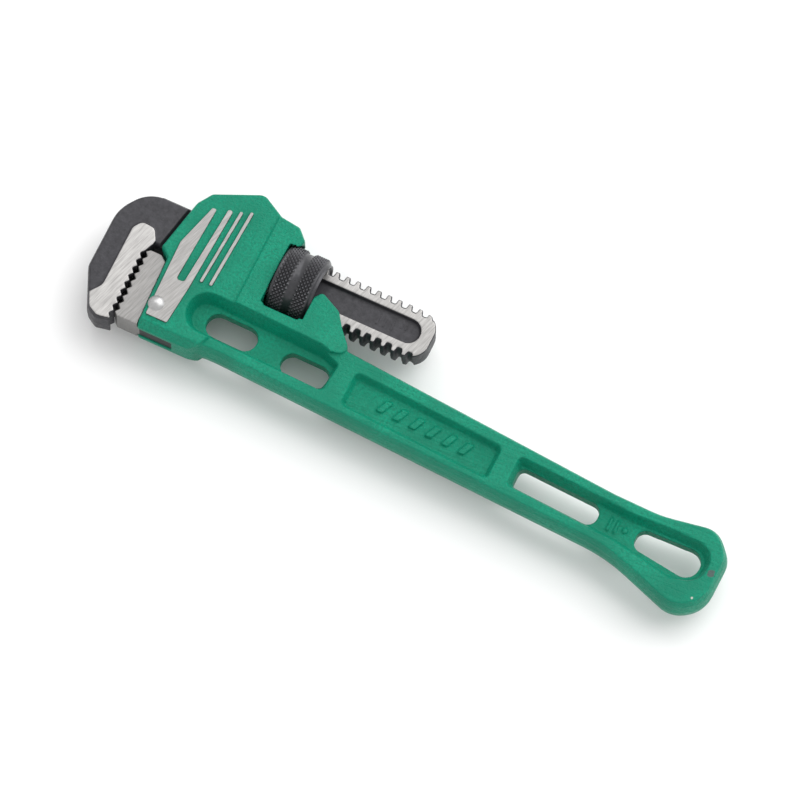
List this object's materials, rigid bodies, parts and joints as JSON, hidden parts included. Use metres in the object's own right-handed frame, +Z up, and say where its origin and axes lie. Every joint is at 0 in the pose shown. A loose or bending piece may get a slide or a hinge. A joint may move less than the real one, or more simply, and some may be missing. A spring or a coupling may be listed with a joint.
{
  "type": "pipe wrench",
  "caption": "Adjustable pipe wrench with a slotted cast handle, a toothed hook jaw on a threaded flat shank, a knurled adjusting nut and a pinned heel jaw.",
  "frame": {"origin": "on the surface the wrench lies on, under the middle of the closed wrench", "axes": "+X along the shank from the jaws to the handle's end, +Y from the handle's side to the shank's side, +Z up out of the wrench's side face"},
  "size_m": [0.2474, 0.0766, 0.0256],
  "materials": {
    "painted_casting": "semi-gloss green enamel on an iron casting",
    "forged_steel": "matt grey-black scale with ground lands",
    "blackened_steel": "black oxide, oiled",
    "ground_steel": "surface-ground",
    "bright_steel": "smooth bright",
    "spring_steel": "oiled spring steel"
  },
  "bodies": {
    "handle_body": {"handle": "painted_casting", "heel_jaw": "ground_steel", "heel_jaw_pin": "bright_steel", "coil_spring": "spring_steel"},
    "spring_rocker": {"flat_spring": "spring_steel", "spring_rivet": "bright_steel"},
    "hook": {"hook_jaw": "forged_steel"},
    "nut": {"adjusting_nut": "blackened_steel"}
  },
  "joints": [
    {"name": "jaw_rock", "type": "hinge", "parent": "handle_body", "child": "spring_rocker", "pos_m": [-0.05448, 0.01528, 0.0128], "axis": [0, 0, 1], "range_deg": [-2.5, 0], "stiffness_Nm_per_rad": 2, "springref_deg": 4.58, "deforming": ["coil_spring"]},
    {"name": "nut_spin", "type": "hinge", "parent": "spring_rocker", "child": "nut", "pos_m": [-0.05448, 0.01528, 0.0128], "axis": [1, 0, 0], "range_deg": [0, 3420.01]},
    {"name": "jaw_slide", "type": "slide", "parent": "spring_rocker", "child": "hook", "axis": [-1, 0, 0], "range_m": [0, 0.038]}
  ],
  "couplings": [
    {"joint": "nut_spin", "follows": "jaw_slide", "rad_per_m": 1570.8}
  ]
}
